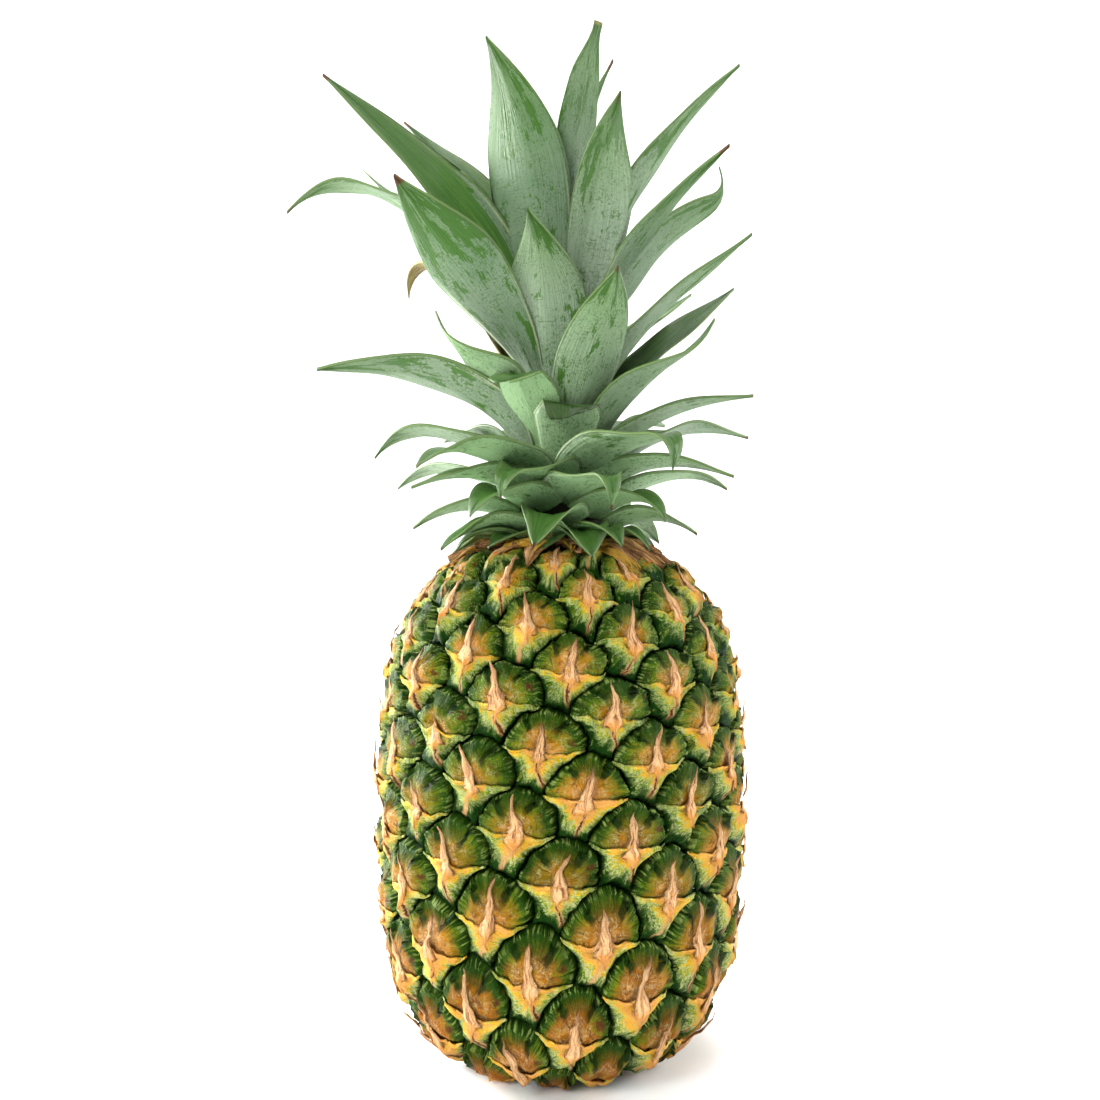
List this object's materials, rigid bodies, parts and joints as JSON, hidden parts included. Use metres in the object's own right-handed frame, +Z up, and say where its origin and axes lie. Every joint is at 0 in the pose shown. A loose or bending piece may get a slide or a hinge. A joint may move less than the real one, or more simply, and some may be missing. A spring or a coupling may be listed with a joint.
{
  "type": "pineapple",
  "caption": "Whole ripe pineapple standing upright on its cut base, with a spined rind of spiral eyes and a full crown of pointed leaves.",
  "frame": {"origin": "middle of the cut stalk's face, on the plane that the fruit rests on, on the fruit's own axis", "axes": "+Z up along the fruit's axis to the crown; -Y is the front, the side with the cut leaf; +X is the right side seen from the front"},
  "size_m": [0.1638, 0.1261, 0.3392],
  "materials": {
    "rind": null,
    "cut_stalk": null,
    "crown_stem": null,
    "leaf": null
  },
  "bodies": {
    "root": {"fruit": "rind", "stalk_stub": "cut_stalk", "crown_stem": "crown_stem", "leaf_01": "leaf", "leaf_02": "leaf", "leaf_03": "leaf", "leaf_04": "leaf", "leaf_05": "leaf", "leaf_06": "leaf", "leaf_07": "leaf", "leaf_08": "leaf", "leaf_09": "leaf", "leaf_10": "leaf", "leaf_11": "leaf", "leaf_12": "leaf", "leaf_13": "leaf", "leaf_14": "leaf", "leaf_15": "leaf", "leaf_16": "leaf", "leaf_17": "leaf", "leaf_18": "leaf", "leaf_19": "leaf", "leaf_20": "leaf", "leaf_21": "leaf", "leaf_22": "leaf", "leaf_23": "leaf", "leaf_24": "leaf", "leaf_25": "leaf", "leaf_26": "leaf", "leaf_27": "leaf", "leaf_28": "leaf", "leaf_29": "leaf", "leaf_30": "leaf", "leaf_31": "leaf", "leaf_32": "leaf", "leaf_33": "leaf", "leaf_34": "leaf", "leaf_35": "leaf", "leaf_36": "leaf", "leaf_37": "leaf", "leaf_38": "leaf", "leaf_39": "leaf", "leaf_40": "leaf", "leaf_41": "leaf", "leaf_42": "leaf", "leaf_43": "leaf", "leaf_44": "leaf", "leaf_45": "leaf", "leaf_46": "leaf", "leaf_47": "leaf", "leaf_48": "leaf", "leaf_49": "leaf", "leaf_50": "leaf", "leaf_51": "leaf", "leaf_52": "leaf", "leaf_53": "leaf", "leaf_54": "leaf", "leaf_55": "leaf", "leaf_56": "leaf", "leaf_57": "leaf"}
  },
  "joints": []
}
